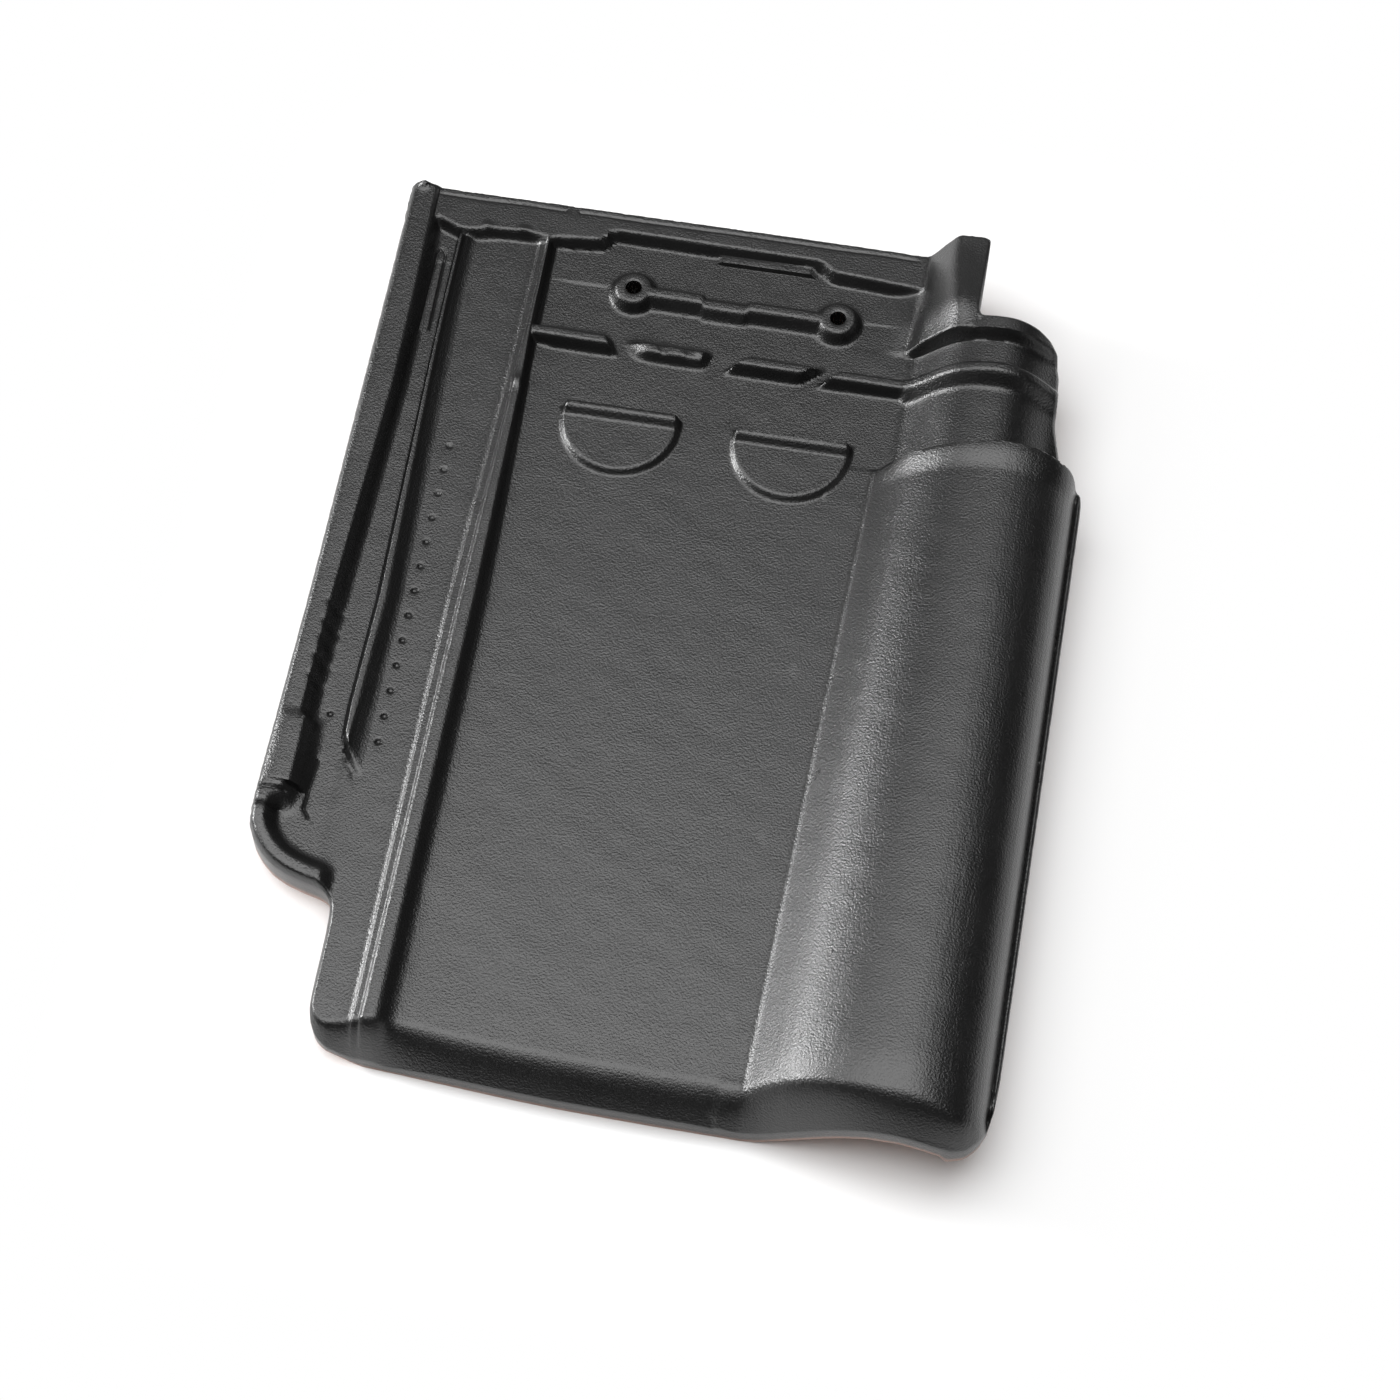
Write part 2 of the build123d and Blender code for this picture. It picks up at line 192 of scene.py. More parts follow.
# Lines along the side lock: the x they have in the mid section, and their x at several y.
LOCK_LINES = [
    (-128.4, [(170, -127.6), (0, -127.4), (-45, -127.9), (-80, -128.4)]),
    (-119.0, [(168, -118.1), (118, -116.7), (84, -116.2), (0, -118.5), (-45, -119.2)]),
    (-113.5, [(150, -113.4), (114, -112.0), (84, -111.7), (2, -113.5), (-45, -114.2), (-60, -112.8)]),
    (-104.0, [(154, -106.3), (120, -106.2), (87, -105.6), (0, -103.4), (-42, -104.0), (-55, -103.4)]),
    (-99.6, [(154, -104.4), (121, -104.2), (91, -103.3), (0, -99.4), (-41, -100.1), (-55, -100.6)]),
    (-95.5, [(151, -99.9), (125, -100.2), (95, -99.0), (0, -95.5), (-52, -95.6)]),
    (-79.4, [(160, -77.0), (115, -77.3), (86, -77.6), (3, -79.5), (-147, -79.2)]),
    (-76.2, [(160, -74.4), (115, -74.6), (84, -75.2), (2, -76.2), (-147, -76.6)]),
    (-71.5, [(150, -73.8), (114, -73.3), (93, -72.3), (3, -71.4), (-132, -71.7)]),
    (-66.3, [(150, -70.8), (100, -70.3), (90, -69.6), (6, -66.5), (-107, -66.1), (-129, -65.4)]),
    (-58.0, [(0, -58.0)])]
LOCK_MARKS = [mark for mark, _ in LOCK_LINES]

# Sections across the lock; the curb's section starts at the tile's edge.
LOCK_FLOOR = Soft([
    (-130, 17.6), (-105, 17.4), (-97, 18), (-84, 18.2), (-80.2, 18.6), (-79.5, 19.8), (-76.6, 20.4),
    (-75.8, 21.8), (-75.1, 22), (-71.8, 22), (-70.6, 21.3), (-68.6, 18.9), (-66.8, 17.8), (-64.6, 17.3),
    (-61.5, 17.05), (-58, PAN), (-50, PAN)], 0.3)
RIM = Soft([
    (-131, 1.8), (-128.4, 2.6), (-127.7, 4.8), (-126.0, 6.2), (-119.2, 6.4), (-117.2, 4.0), (-115.4, 1.1),
    (-113.3, 0), (-100, 0)], 0.5)
MID_RIB = Soft([
    (-110, 0), (-105.3, 0), (-104.8, -1.0), (-104.3, -0.2), (-103.9, 3.9), (-103.3, 4.4), (-101.6, 4.3),
    (-100.6, 3.7), (-97.2, 0.8), (-95.4, 0), (-90, 0)], 0.28)
CURB = Soft([
    (-2, 1.0), (0, 1.6), (0.8, 3.6), (2.0, 4.3), (5.0, 4.3), (6.4, 3.0), (8.4, 0.5), (9.8, 0),
    (14, 0)], 0.4)

# Rim with its notches, and the thicker block at its tail end.
NOTCHES = (-7.2, -14.8, -21.6, -28.8, -36.4)
NOTCH_WIDTH = 1.0
NOTCH_DEPTH = 1.0
NOTCH_SIDE = (-124, -118)
BLOCK_HEAD = (-49.2, -50.4)
BLOCK_TAIL = (-76.6, -75.4)
BLOCK_SHIFT = 2.0
BLOCK_SHARE = 1.13

# Curb round the lower left corner, with two slits where it leaves the rim.
RIM_TO_CURB = (-76, -86)
CURB_END = (-95.2, -101.2)
CURB_SWELL = 0.45
CURB_SWELLS = (-106, -82)
SLITS = (-78.3, -84.2)
SLIT_WIDTH = 0.5
SLIT_DEPTH = 1.0
SLIT_HEIGHTS = (0.2, 1.5)
SLIT_SIDE = (-117, -119)

# Middle rib; its tail end is torn off aslant.
MID_RIB_LEFT = -104.0
MID_RIB_TAIL = (-57.0, -52.0)
MID_RIB_HEAD = (152.5, 150.5)
TORN_SLANT = 1.6
TORN_REACH = 7

# A row of round dimples in the lock; the first of them, from the head, grow deeper one by one.
DIMPLE_COUNT = 13
DIMPLE_X = -92.4
DIMPLE_HEAD = 64.0
DIMPLE_GAP = 9.8
DIMPLE_RADIUS = 1.5
DIMPLE_DEPTH = 0.5
DIMPLE_DEEPER = 0.4
DIMPLE_DEEPENING = 6
# All dimples, the row and two single ones: x, y, radius, depth.
DIMPLES = [
    (DIMPLE_X, DIMPLE_HEAD - DIMPLE_GAP * k, DIMPLE_RADIUS,
     DIMPLE_DEPTH + DIMPLE_DEEPER * min(1, k / DIMPLE_DEEPENING))
    for k in range(DIMPLE_COUNT)]
DIMPLES += [(-110.6, -45.8, 1.3, 0.8), (-102.3, -58.2, 1.5, 1.2)]
DIMPLE_BED = 0.25
# Lines pressed or torn into the clay: path, half width, depth.
LINES = [
    ([(-110.7, -63.7), (-111.3, -74), (-111.6, -81.9), (-109.2, -85.2)], 0.45, 0.8),
    ([(-113.0, 110), (-113.1, 143), (-111.8, 145.6), (-110.2, 143.4), (-109.6, 110)], 0.4, 0.6),
    ([(-101.2, -61), (-99.4, -63.5), (-97.6, -67)], 1.1, 0.8)]


def line_gap(x, y, path):
    """Distance to a line through a few points."""
    gap = np.full(np.shape(x), np.inf)
    for (ax, ay), (bx, by) in zip(path[:-1], path[1:]):
        long = (bx - ax) ** 2 + (by - ay) ** 2
        t = np.clip(((x - ax) * (bx - ax) + (y - ay) * (by - ay)) / long, 0, 1)
        gap = np.minimum(gap, np.hypot(x - ax - t * (bx - ax), y - ay - t * (by - ay)))
    return gap


def carry(value, start, end):
    """Carries places from one row of ascending marks over to another, straight between the marks."""
    out = np.where(value < start[0], end[0] + value - start[0], value)
    for k in range(len(start) - 1):
        share = (value - start[k]) / (start[k + 1] - start[k])
        out = np.where((share >= 0) & (share < 1), end[k] + share * (end[k + 1] - end[k]), out)
    return out


def lock_lines(y):
    """The x of each line along the side lock at y."""
    return [table(points, y) for _, points in LOCK_LINES]


def lock_place(x, y):
    """The place across the side lock, as if it were straight."""
    return carry(x, lock_lines(y), LOCK_MARKS)


def unlock_place(u, y):
    """The x of a place across the side lock."""
    return carry(u, LOCK_MARKS, lock_lines(y))


def rim_height(u, y):
    """Rim of the side lock with its notches and block."""
    notches = sum(bell(y - at, NOTCH_WIDTH) for at in NOTCHES)
    rim = RIM(u + NOTCH_DEPTH * notches * step(*NOTCH_SIDE, u))
    block = step(*BLOCK_HEAD, y) * step(*BLOCK_TAIL, y)
    return np.maximum(rim, block * RIM(u - BLOCK_SHIFT) * BLOCK_SHARE)


def lock_height(x, y, d):
    """Side lock and pan floor: rim, curb, middle rib, pan rib and the little marks on them."""
    u = lock_place(x, y)
    corner = step(*RIM_TO_CURB, y)
    curb = CURB(d) * step(*CURB_END, x) * (1 + CURB_SWELL * step(*CURB_SWELLS, y))
    raised = rim_height(u, y) * (1 - corner) + curb * corner
    for at in SLITS:
        slit = bell(y - at, SLIT_WIDTH) * step(*SLIT_HEIGHTS, raised) * step(*SLIT_SIDE, x)
        raised = raised - SLIT_DEPTH * slit
    torn = TORN_SLANT * np.clip(u - MID_RIB_LEFT, 0, TORN_REACH)
    tail, full = MID_RIB_TAIL
    z = LOCK_FLOOR(u) + raised + MID_RIB(u) * step(tail - torn, full - torn, y) * step(*MID_RIB_HEAD, y)
    for cx, cy, size, deep in DIMPLES:
        z = z - deep * step(size, DIMPLE_BED * size, np.hypot(x - cx, y - cy))
    for path, wide, deep in LINES:
        z = z - deep * bell(line_gap(x, y, path), wide)
    return z


# Step from the pockets up to the head plate: its foot and its top along x.
STEP_FOOT = [
    (-115, 153.5), (-107, 150.5), (-103.5, 150.3), (-98, 151.0), (-92, 152.4), (-83, 152.6), (-73, 152),
    (-54.6, 153.8), (-51.0, 158.2), (24.0, 157.6), (29.4, 153.6), (62, 151.6)]
STEP_TOP = [
    (-115, 157.5), (-107, 154), (-103, 153.8), (-96.3, 155.4), (-83, 156.2), (-73, 155.4), (-54.6, 157.2),
    (-51.0, 162.0), (24.0, 161.3), (29.4, 157.4), (62, 155.2)]
POCKET = LOCK_BED - 1.6
POCKET_TAIL = 140
POCKET_BLEND = 2.2
# A plain ledge on the step: its left, right, tail and head sides, and its share of the step's height.
LEDGE = ((-12.4, -11.2), (23.2, 22.0), (155.6, 156.4), (160.0, 159.2))
LEDGE_SHARE = 0.42

# Interrupted rib and nail rib in section along y; both run a little aslant.
CROSS = Soft([
    (108, 0), (109.9, 0), (110.7, 0.7), (112.5, 4.5), (113.1, 5), (116, 5), (117.6, 0.8), (118.4, 0),
    (120, 0)], 0.3)
NAIL = Soft([
    (128, 0), (131.9, 0), (132.8, 0.7), (135.2, 4.5), (135.9, 5), (139, 5), (140.8, 0.8), (141.8, 0),
    (146, 0)], 0.3)
RIB_TURN = 0.012
# Each piece of the interrupted rib: left end, its slant, right end, its slant, height share.
CROSS_ENDS = [
    (-73.5, 0, -43.4, -0.5, 1.0), (-36.6, -0.6, -10.4, 0.3, 0.8), (0.2, 1.0, 26.4, 1.2, 1.0),
    (34.2, 1.1, 66, 0, 1.0)]
CROSS_MIDDLE = 113
CROSS_END = 1.6
WORN_END = 8.0
WORN_DEPTH = 0.12
WORN_CHIPS = (0.1, 0.9)
CHIPS = [(1.0, 9, 3), (0.4, 4, 4)]

# Nail rib: its two ends, the lower pad in its middle, and the ringed screw holes.
NAIL_LEFT = (-40, -37)
NAIL_RIGHT = (34, 31)
PAD_LEFT = (-15.4, -14.2)
PAD_RIGHT = (1.8, 0.6)
PAD_SHIFT = 1.2
PAD_DEPTH = 0.14
HOLES = [(-40.2, 138.2), (33.8, 137.4)]
HOLE_RADIUS = 2.9
BOSS = Soft([
    (-1, 5), (0, 5), (2.6, 4.6), (3.3, 5.1), (5.9, 5.0), (6.8, 4.3), (8.2, 0.8), (9.2, 0), (14, 0)], 0.32)

# Half moons: centre and the y of the chord; each has a low disc and a higher lip along its chord.
MOONS = [(-35.3, 83.9, 88.1), (25.6, 83.2, 86.8)]
MOON_EDGE = (22.0, 19.3)
MOON_CHORD = (1.4, -0.2)
MOON_LIP = (-5.0, -1.6)
MOON_RISE = 2.1
MOON_LIP_RISE = 2.6

# Burrs of torn clay: x, y, radius, height.
BURRS = [
    (-122.6, 168.4, 1.7, 2.0), (-83.3, 155.9, 1.4, 1.3), (-96.4, 155.6, 1.3, 1.0), (-73.4, 92.4, 1.8, 1.0)]


def cross_rib(x, y):
    """Interrupted rib across the head of the pan; its second piece is worn."""
    z = np.zeros_like(x)
    ahead = y - CROSS_MIDDLE
    for left, lean_left, right, lean_right, share in CROSS_ENDS:
        worn = share < 1
        a = step(-CROSS_END, WORN_END if worn else CROSS_END, x - left - lean_left * ahead)
        b = step(CROSS_END, -CROSS_END, x - right - lean_right * ahead)
        rise = CROSS(y + RIB_TURN * x) * a * b * share
        if worn:
            rise = rise * (1 - WORN_DEPTH * step(*WORN_CHIPS, waves(x, y, CHIPS)))
        z = np.maximum(z, rise)
    return z


def nail_rib(x, y):
    """Nail rib with the rings round its two screw holes."""
    between = step(*NAIL_LEFT, x) * step(*NAIL_RIGHT, x)
    pad = step(*PAD_LEFT, x) * step(*PAD_RIGHT, x)
    z = NAIL(y + RIB_TURN * x + PAD_SHIFT * pad) * between * (1 - PAD_DEPTH * pad)
    for hx, hy in HOLES:
        z = np.maximum(z, BOSS(np.hypot(x - hx, y - hy)))
    return z


def half_moons(x, y):
    """Two half discs that stop the next tile."""
    z = np.zeros_like(x)
    for cx, cy, chord in MOONS:
        disc = step(*MOON_EDGE, np.hypot(x - cx, y - cy)) * step(*MOON_CHORD, y - chord)
        z = np.maximum(z, disc * (MOON_RISE + MOON_LIP_RISE * step(*MOON_LIP, y - chord)))
    return z


def pan_marks(x, y):
    """What stands on the head half of the pan."""
    return np.maximum(np.maximum(cross_rib(x, y), nail_rib(x, y)), half_moons(x, y))


def head_plate(x, y, z):
    """Raises everything behind the pockets to the plate at the head."""
    foot = table(STEP_FOOT, x)
    top = table(STEP_TOP, x)
    share = step(0, 1, (y - foot) / (top - foot))
    share = np.maximum(share, LEDGE_SHARE * patch(x, y, *LEDGE))
    plate = POCKET + (PLATE - POCKET) * share
    raised = np.maximum(smax(z, plate, POCKET_BLEND * (1 - share)), z + (PLATE - z) * share)
    return np.where(y > POCKET_TAIL, raised, z)


# Roll in section at mid length; nearer the head its foot lies further right.
ROLL_FOOT = 51.0
ROLL_CREST = 95.0
ROLL_HEAD = 80
ROLL_LONG = 235
ROLL_FOOT_HEAD = 55.0
ROLL_TAPER = 7.2
ROLL = Soft([
    (40, 16.8), (49.2, 16.9), (50.4, 17.2), (51.3, 17.8), (52.2, 18.8), (60, 29.4), (64, 33.7), (68, 36.9),
    (72, 39.6), (76, 41.9), (80, 43.8), (84, 45.3), (88, 46.4), (92, 47.2), (96, 47.75), (100, 47.9),
    (104, 47.5), (108, 46.6), (112, 45.2), (115, 43.8), (118, 41.9), (120, 40.2), (122, 37.7),
    (123.5, 34.9), (124.6, 31.6), (125.2, 28.2), (125.6, 25.0), (125.9, 23.3), (126.3, 23.1),
    (126.9, 24.0), (127.3, 24.0), (128.4, 23.4), (130, 22.9)], 0.25)
# The roll is lower behind its flared head end, and droops towards its tail.
ROLL_FLANK = (PAN, 32)
FLARE = 1.6
FLARE_END = (78.5, 69)
DROOP = 4.0
DROOP_FROM = -142
DROOP_LONG = 26
# Where the roll drops to the neck, along x, and half the width of that drop.
ROLL_END = [(50, 79.3), (82, 79.6), (96, 80.9), (110, 81.2), (120, 80.0), (130, 78.8)]
ROLL_DROP = 0.8

# Neck and fin in section, and the neck's first rib along y.
NECK = Soft([
    (50, 16.5), (60, PAN), (62, 17.7), (66, 21.3), (70, 25.9), (73.7, 29.9), (79, 33.9), (85.7, 36.6),
    (94.4, 37.5), (100, 36.3), (105.2, 33.2), (110, 28.8), (113.5, 25.0), (117, 23), (120, 22)], 2.0)
NECK_RIB = Soft([
    (100, 0), (107.6, 0), (108.4, 0.6), (111.4, 4.4), (112.2, 5), (115.2, 5), (117, 0.7), (117.8, 0),
    (125, 0)], 0.3)
FIN_HEAD = Soft([
    (50, 16), (60.5, 20.5), (62.3, 22), (66.5, 29), (71.4, 37.0), (73.6, 38.3), (81, 38.5), (90, 38.3)], 0.6)
FIN_NECK = Soft([
    (50, 16), (60.5, 20), (62, 22), (64, 28), (70.2, 36.5), (75, 42.2), (77.5, 43), (82.6, 42),
    (90, 42)], 0.6)
NECK_RIB_LEFT = (59.5, 61.5)
NECK_STRIP = (127.2, 129.6)
NECK_STRIP_RISE = 5.0
FIN_LONG = (128, 170)
FIN_GROWS = (128, 142)
FIN_FIRST = 0.45
FIN_RIGHT = 83.5
FIN_TAIL = (127.4, 129.6)
FIN_SIDE = (86, 82)


def roll_foot(y):
    """The x of the roll's foot at y."""
    return ROLL_FOOT_HEAD - ROLL_TAPER * (ROLL_HEAD - y) / ROLL_LONG


def roll_height(x, y):
    """The roll, over its whole length and beyond it."""
    foot = roll_foot(y)
    left = ROLL_FOOT + (x - foot) * (ROLL_CREST - ROLL_FOOT) / (ROLL_CREST - foot)
    roll = ROLL(np.where(x < ROLL_CREST, left, x))
    roll = roll - FLARE * step(*FLARE_END, y) * step(*ROLL_FLANK, roll)
    drooped = np.clip((DROOP_FROM - y) / DROOP_LONG, 0, 1) ** 2
    return roll - DROOP * drooped * step(*ROLL_FLANK, roll)


def neck_height(x, y):
    """The neck with its rib and end strip, and the fin that runs on from its left flank to the head."""
    plain = NECK(x)
    rib_here = step(*NECK_RIB_LEFT, x)
    neck = plain + NECK_RIB(y) * rib_here + NECK_STRIP_RISE * step(*NECK_STRIP, y) * rib_here
    share = step(*FIN_LONG, y)
    fin = FIN_NECK(x) * (1 - share) + FIN_HEAD(x) * share
    grown = FIN_FIRST + (1 - FIN_FIRST) * step(*FIN_GROWS, y)
    fin = (plain + NECK_STRIP_RISE * rib_here) * (1 - grown) + fin * grown
    fin = np.where(x < FIN_RIGHT, fin, neck)
    blend = step(*FIN_TAIL, y) * step(*FIN_SIDE, x)
    return neck * (1 - blend) + fin * blend


def right_height(x, y):
    """Roll, neck and fin, without the pan."""
    over = step(-ROLL_DROP, ROLL_DROP, y - table(ROLL_END, x))
    return roll_height(x, y) * (1 - over) + neck_height(x, y) * over


# Height of the tail's lower edge above the floor, arched below the roll.
TAIL_EDGE = [
    (-95, 7.5), (-86, 5.5), (-76, 0), (49, 0), (54, 1.6), (58, 4), (64, 8), (72, 13.6), (80, 19.2),
    (89, 24.2), (99, 26.4), (108, 25.2), (119, 21.0), (130, 20)]
# Blends between the forms of the upper face.
RIGHT_SIDE = 40
MARKS_BLEND = 1.6
MARKS_LEAST = 0.02
MARKS_FOOT = (0.3, 3.0)
FOOT_BLEND = 1.6
FOOT_BLEND_TAIL = 6.0
FOOT_TAIL = (-150, -164)
# Slight unevenness of the pressed clay.
UNEVEN = [(0.05, 38, 11), (0.03, 13, 12)]
# A faint line along the head edge.
HEAD_LINE = 166.6
HEAD_LINE_WIDTH = 0.45
HEAD_LINE_DEPTH = 0.35
HEAD_LINE_SWAY = [(0.15, 30, 21)]
HEAD_LINE_LEFT = (-118, -114)
HEAD_LINE_RIGHT = (60, 56)


def top_height(x, y, d):
    """The tile's upper face before its edges are rounded; d is the distance from the outline."""
    z = lock_height(x, y, d)
    marks = pan_marks(x, y)
    z = np.where(marks > 0, smax(z, PAN + marks, MARKS_LEAST + MARKS_BLEND * step(*MARKS_FOOT, marks)), z)
    z = head_plate(x, y, z)
    foot_blend = FOOT_BLEND + FOOT_BLEND_TAIL * step(*FOOT_TAIL, y)
    z = np.where(x > RIGHT_SIDE, smax(z, right_height(x, y), foot_blend), z)
    for cx, cy, size, high in BURRS:
        z = z + high * bell(np.hypot(x - cx, y - cy), size)
    z = z + waves(x, y, UNEVEN)
    ahead = y - HEAD_LINE - waves(x, y, HEAD_LINE_SWAY)
    line = bell(ahead, HEAD_LINE_WIDTH) * step(*HEAD_LINE_LEFT, x) * step(*HEAD_LINE_RIGHT, x)
    return z - HEAD_LINE_DEPTH * line


# Underside: the hollow below roll and neck, the lip along the tail, and two nibs down to the floor.
HOLLOW_FOOT = 4.3
HOLLOW_BLEND = 3.0
NECK_FOOT = 60.5
ROLL_WALL = 125.5
NECK_WALL = 116.5
LOCK_RIGHT = -70
RIGHT_FLANGE = 20
RIGHT_FLANGE_LEFT = (98, 108)
TAIL_LINE = [(-95, -161), (-63, -162.2), (-10, -165.2), (47, -165.8), (100, -168.2), (117, -168.9)]
TAIL_LIP = (13.6, 11.6)
NIB_LEFTS = (-66.5, 23.5)
NIB_SIDES = ((-1.5, 0.5), (35.5, 33.5), (145.2, 146.6), (162.2, 160.2))


def under_right(x, y):
    """Hollow below roll and neck: their section again, narrower by the clay."""
    foot = np.where(y < ROLL_HEAD, roll_foot(y), NECK_FOOT)
    wall = np.where(y < ROLL_HEAD, ROLL_WALL, NECK_WALL)
    wide = (wall - foot) / (wall - CLAY - foot - HOLLOW_FOOT)
    return right_height(foot + (x - foot - HOLLOW_FOOT) * wide, y) - CLAY


def under_height(x, y):
    """The lower face: flat clay with a lip at the tail, nibs at the head, a hollow below roll and neck."""
    z = np.where(x < LOCK_RIGHT, LOCK_BED - CLAY, PAN - CLAY)
    z = np.where(x > RIGHT_SIDE, smax(z, under_right(x, y), HOLLOW_BLEND), z)
    z = np.maximum(z, RIGHT_FLANGE * step(*RIGHT_FLANGE_LEFT, x))
    lip = step(*TAIL_LIP, y - table(TAIL_LINE, x))
    z = z * (1 - lip) + np.minimum(z, table(TAIL_EDGE, x)) * lip
    for left in NIB_LEFTS:
        z = z * (1 - patch(x - left, y, *NIB_SIDES))
    return z


# How close the mesh's points lie: (start, end, gap) along y and across the lock on the upper face.
TOP_ROWS = [
    (-168.5, -148, 0.75), (-148, -120, 1.7), (-120, -86, 1.5), (-86, -74, 0.5), (-74, 57, 1.9),
    (57, 78.5, 1.15), (78.5, 82.3, 0.4), (82.3, 90, 0.6), (90, 92, 1.1), (92, 107.4, 1.7),
    (107.4, 118.6, 0.5), (118.6, 126, 1.3), (126, 142.5, 0.6), (142.5, 149, 1.3), (149, 163, 0.6),
    (163, 165.6, 1.2), (165.6, 167.8, 0.3)]
LOCK_COLUMNS = [
    (-128.2, -125.6, 0.5), (-125.6, -119.8, 1.45), (-119.8, -112.8, 0.55), (-112.8, -105.6, 1.6),
    (-105.6, -102.6, 0.25), (-102.6, -100, 0.9), (-100, -94.8, 0.5), (-94.8, -80, 1.45),
    (-80, -75.8, 0.33), (-75.8, -72, 0.95), (-72, -65.5, 0.5)]
PAN_LEFT = -65.0
PAN_COLUMNS = 62
PAN_FINE_ROWS = (107, 142)
PAN_MARGIN = 2.5
ROLL_RIGHT = 128.5
ROLL_COLUMNS = 58
ROLL_WALL_COLUMNS = 22
ROLL_WALL_SHARE = 0.9
COLUMN_GAP = 0.6
# Points that follow an edge or a small form, and how far the grid stays clear of it.
EDGE_OFFSETS = (0.18, 0.45, 0.85, 1.2, 1.55, 1.9)
EDGE_CLEAR = 2.2
EDGE_LEAST = 0.1
CURB_OFFSETS = np.arange(2.4, 10.4, 0.6)
CURB_CLEAR = 10.5
CURB_RIGHT = -96.5
CURB_HEAD = -82
CURB_TAIL = -111
MOON_MIDDLE = 20.6
MOON_CLEAR = 2.2
MOON_RADII = np.linspace(18.6, 22.6, 8)
MOON_POINTS = 150
MOON_TURN = (168, 372)
HOLE_CLEAR = 10
HOLE_RADII = np.linspace(HOLE_RADIUS + 0.45, 9.7, 12)
BOSS_POINTS = 56
LINE_OFFSETS = np.array([-1.9, -1.1, -0.5, 0, 0.5, 1.1, 1.9])
LINE_CLEAR = 2.4
LINE_POINT_GAP = 0.9
DIMPLE_CLEAR = 0.7
DIMPLE_RADII = np.array([0.01, 0.3, 0.55, 0.8, 1.0, 1.25])
DIMPLE_POINTS = 14


def spread(parts):
    """Places along a line from (start, end, gap) parts."""
    marks = []
    for start, end, gap in parts:
        count = max(1, round((end - start) / gap))
        marks.append(np.linspace(start, end, count, endpoint=False))
    return np.concatenate(marks)


def ring(cx, cy, radii, count, turn=(0, 360)):
    """Points on circles about a centre, every second circle turned by half a gap."""
    angles = np.radians(np.linspace(*turn, count, endpoint=turn != (0, 360)))
    circles = []
    for k, r in enumerate(radii):
        turned = angles + 0.5 * (k % 2) * (angles[1] - angles[0])
        circles.append(np.column_stack([cx + r * np.cos(turned), cy + r * np.sin(turned)]))
    return np.concatenate(circles)


def beside(path, gap, offsets):
    """Points along a line and at offsets to both sides of it."""
    points = []
    for (ax, ay), (bx, by) in zip(path[:-1], path[1:]):
        long = math.hypot(bx - ax, by - ay)
        t = np.linspace(0, 1, max(2, round(long / gap)), endpoint=False)
        for o in offsets:
            x = ax + t * (bx - ax) - o * (by - ay) / long
            y = ay + t * (by - ay) + o * (bx - ax) / long
            points.append(np.column_stack([x, y]))
    return np.concatenate(points)


def away(points, cx, cy):
    """Distance of each point from a centre."""
    return np.hypot(points[:, 0] - cx, points[:, 1] - cy)


def inward(loop):
    """Unit vectors that point from a closed line to its inside."""
    tangent = np.roll(loop, -1, axis=0) - np.roll(loop, 1, axis=0)
    tangent /= np.hypot(*tangent.T)[:, None]
    return np.column_stack([-tangent[:, 1], tangent[:, 0]])


def top_grid():
    """Rows of points across the whole tile, closest where the shape turns most."""
    lock = spread(LOCK_COLUMNS)
    pan = np.linspace(0, 1, PAN_COLUMNS)
    roll = np.concatenate([
        np.linspace(0, ROLL_WALL_SHARE, ROLL_COLUMNS, endpoint=False),
        np.linspace(ROLL_WALL_SHARE, 1, ROLL_WALL_COLUMNS)])
    points = []
    for y in spread(TOP_ROWS):
        foot = roll_foot(min(y, ROLL_HEAD)) - PAN_MARGIN
        on_lock = unlock_place(lock, np.full(len(lock), y))
        on_pan = PAN_LEFT + pan * (foot - COLUMN_GAP - PAN_LEFT)
        on_roll = foot + COLUMN_GAP + roll * (ROLL_RIGHT - COLUMN_GAP - foot)
        columns = [on_lock, on_pan, on_roll]
        if PAN_FINE_ROWS[0] < y < PAN_FINE_ROWS[1]:
            columns.append((on_pan[1:] + on_pan[:-1]) / 2)
        x = np.concatenate(columns)
        points.append(np.column_stack([x, np.full(len(x), y)]))
    return np.concatenate(points)


